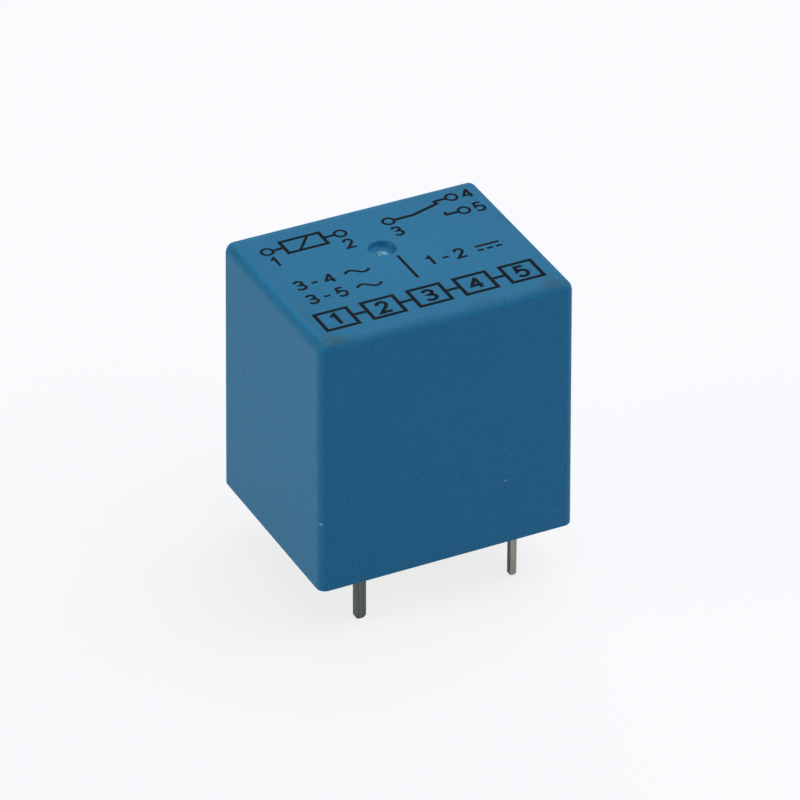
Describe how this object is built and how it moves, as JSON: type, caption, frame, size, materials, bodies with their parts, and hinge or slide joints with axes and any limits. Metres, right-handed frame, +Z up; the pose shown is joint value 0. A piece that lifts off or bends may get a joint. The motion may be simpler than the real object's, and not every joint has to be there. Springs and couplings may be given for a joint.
{
  "type": "pcb power relay",
  "caption": "Sealed cube-shaped power relay for a circuit board: blue moulded cover on slim solder pins, with a coil, a hinged armature and a changeover contact inside.",
  "frame": {"origin": "middle of the cover's rim, on the plane that sits on the board", "axes": "+Z up through the top, -Y out of the front face, +X towards the coil pins and the common pin"},
  "size_m": [0.019, 0.0154, 0.0232],
  "materials": {
    "blue_plastic": "fine matt moulded",
    "black_plastic": "matt moulded",
    "dark_resin": "cast, glossy",
    "white_plastic": "satin moulded",
    "enamelled_copper": "enamelled wire",
    "plated_iron": "nickel plated",
    "spring_bronze": "rolled",
    "silver_alloy": "satin",
    "tinned_brass": "dull tin",
    "tinned_steel": "dull tin",
    "solder": "bright, smooth"
  },
  "bodies": {
    "frame": {"cover": "blue_plastic", "base": "black_plastic", "epoxy_seal": "dark_resin", "bobbin": "white_plastic", "coil_winding": "enamelled_copper", "core": "plated_iron", "yoke": "plated_iron", "com_terminal": "tinned_brass", "no_terminal": "tinned_brass", "nc_terminal": "tinned_brass", "no_contact": "silver_alloy", "nc_contact": "silver_alloy", "coil_pin_front": "tinned_steel", "coil_pin_rear": "tinned_steel", "coil_lead_front": "enamelled_copper", "coil_lead_rear": "enamelled_copper", "solder_front": "solder", "solder_rear": "solder"},
    "armature": {"armature": "plated_iron", "contact_spring": "spring_bronze", "moving_contact": "silver_alloy"}
  },
  "joints": [
    {"name": "armature_hinge", "type": "hinge", "parent": "frame", "child": "armature", "pos_m": [0.00758, 0, 0.01442], "axis": [0, -1, 0], "range_deg": [0, 3], "stiffness_Nm_per_rad": 0.013, "springref_deg": -6.88, "deforming": ["contact_spring"]}
  ]
}
